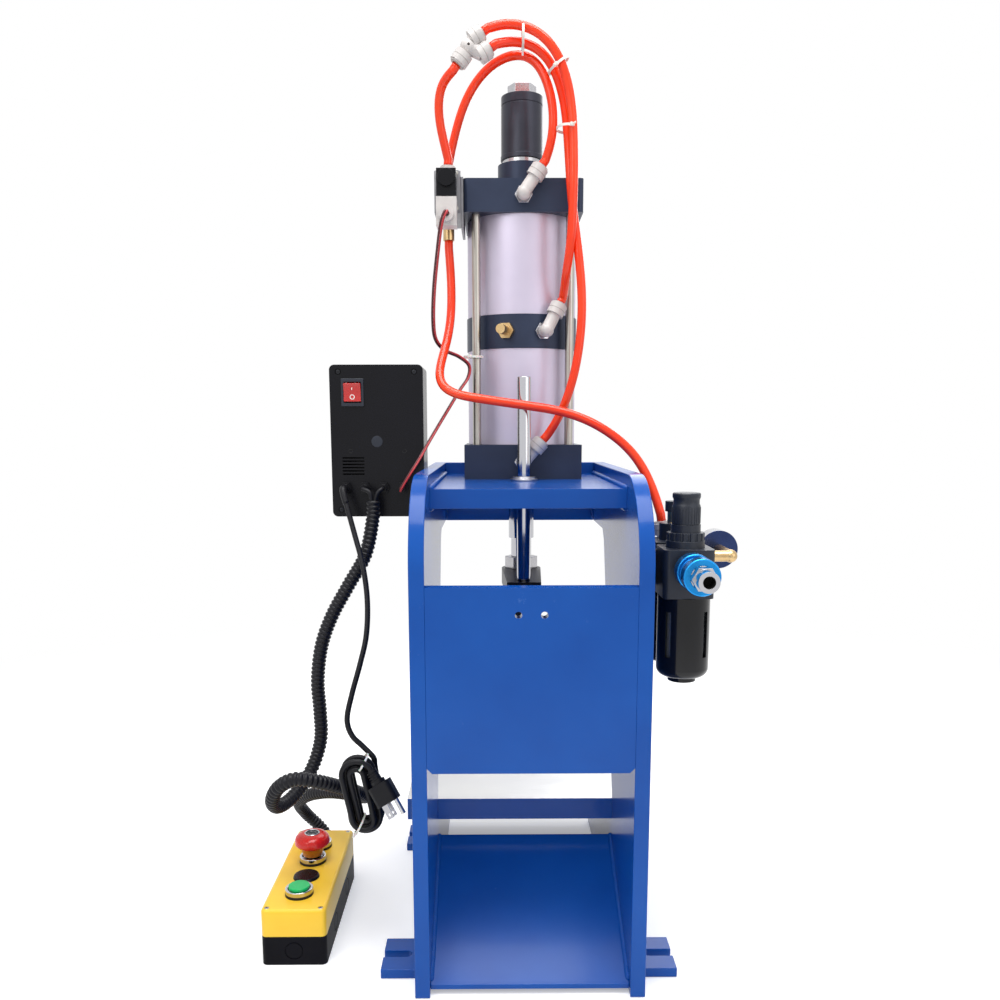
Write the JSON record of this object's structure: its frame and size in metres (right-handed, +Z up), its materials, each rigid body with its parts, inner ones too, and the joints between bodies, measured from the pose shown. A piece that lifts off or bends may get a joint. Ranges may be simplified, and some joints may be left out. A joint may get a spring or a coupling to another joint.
{
  "type": "pneumatic punch press",
  "caption": "Bench-top pneumatic punch press with a welded C-frame, tandem air cylinder, discharge chute, air preparation unit, control box and push-button station.",
  "frame": {"origin": "centre of the four hold-down slots in the feet, on the floor", "axes": "+Z up, +Y towards the operator's side of the throat, +X towards the air preparation unit"},
  "size_m": [0.5159, 0.466, 1.0011],
  "materials": {
    "blue_paint": "gloss",
    "bare_steel": "satin",
    "black_oxide_steel": "satin",
    "chrome_plate": "polished",
    "clear_anodised_aluminium": "satin",
    "dark_anodised_aluminium": "satin",
    "blue_anodised_aluminium": "satin",
    "cast_aluminium": "satin",
    "brass": "satin",
    "white_plastic": "satin",
    "orange_hose": "gloss",
    "black_plastic": "satin",
    "charcoal_plastic": "satin",
    "black_rubber": "matte",
    "red_plastic": "gloss",
    "yellow_plastic": "satin",
    "green_plastic": "gloss",
    "red_insulation": "satin"
  },
  "bodies": {
    "frame": {"side_plates": "blue_paint", "rear_panel": "blue_paint", "head_plate": "blue_paint", "front_cross_plates": "blue_paint", "work_table": "bare_steel", "discharge_chute": "blue_paint", "mounting_feet": "blue_paint", "lower_cap": "dark_anodised_aluminium", "cylinder_tubes": "clear_anodised_aluminium", "middle_ring": "dark_anodised_aluminium", "upper_cap": "dark_anodised_aluminium", "tie_rods": "bare_steel", "rod_bushings": "brass", "guide_bushing": "bare_steel", "cap_screws": "black_oxide_steel", "stop_bumper": "bare_steel", "valve_body": "cast_aluminium", "valve_coil": "black_plastic", "valve_connector": "white_plastic", "brackets": "cast_aluminium", "port_nipples": "chrome_plate", "push_in_fittings": "white_plastic", "hose_splitter": "white_plastic", "brass_fittings": "brass", "cylinder_hoses": "orange_hose", "supply_hose": "orange_hose", "signal_lead": "red_insulation", "control_box": "black_plastic", "control_box_lid": "black_plastic", "rocker_bezel": "charcoal_plastic", "cable_glands": "black_plastic", "filter_regulator": "charcoal_plastic", "lubricator": "charcoal_plastic", "unit_bowls": "black_plastic", "pressure_gauge": "chrome_plate", "shutoff_valve": "chrome_plate", "station_base": "black_plastic", "station_lid": "yellow_plastic", "station_bezels": "chrome_plate", "blank_plug": "black_plastic", "conduit": "black_plastic", "power_cord": "black_rubber", "cord_hank": "black_rubber", "power_plug": "black_rubber"},
    "ram": {"piston_rod": "chrome_plate", "pistons": "clear_anodised_aluminium", "piston_seals": "black_rubber", "adjuster_sleeve": "dark_anodised_aluminium", "rod_nuts": "bare_steel", "link_plate": "black_oxide_steel", "guide_rod": "chrome_plate", "tool_holder": "black_oxide_steel"},
    "rocker": {"rocker_switch": "red_plastic"},
    "knob": {"regulator_knob": "charcoal_plastic"},
    "sleeve": {"shutoff_sleeve": "blue_anodised_aluminium"},
    "needle": {"gauge_needle": "black_plastic"},
    "start_near": {"start_button_near": "green_plastic"},
    "start_far": {"start_button_far": "green_plastic"},
    "stop": {"stop_button": "red_plastic", "stop_stem": "chrome_plate"}
  },
  "joints": [
    {"name": "ram_slide", "type": "slide", "parent": "frame", "child": "ram", "axis": [0, 0, 1], "range_m": [0, 0.05]},
    {"name": "rocker_pivot", "type": "hinge", "parent": "frame", "child": "rocker", "pos_m": [-0.195, 0.008, 0.603], "axis": [1, 0, 0], "range_deg": [-16, 0]},
    {"name": "regulator_turn", "type": "hinge", "parent": "frame", "child": "knob", "pos_m": [0.1545, -0.149, 0.469], "axis": [0, 0, 1], "range_deg": [-720, 720]},
    {"name": "shutoff_slide", "type": "slide", "parent": "frame", "child": "sleeve", "axis": [0, 1, 0], "range_m": [0, 0.008]},
    {"name": "gauge_turn", "type": "hinge", "parent": "frame", "child": "needle", "pos_m": [0.2, -0.084, 0.437], "axis": [0, 1, 0], "range_deg": [-270, 0]},
    {"name": "start_near_push", "type": "slide", "parent": "frame", "child": "start_near", "axis": [0, 0, -1], "range_m": [0, 0.004], "stiffness_N_per_m": 600, "springref_m": -0.001},
    {"name": "start_far_push", "type": "slide", "parent": "frame", "child": "start_far", "axis": [0, 0, -1], "range_m": [0, 0.004], "stiffness_N_per_m": 600, "springref_m": -0.001},
    {"name": "stop_push", "type": "slide", "parent": "frame", "child": "stop", "axis": [0, 0, -1], "range_m": [0, 0.005]}
  ]
}
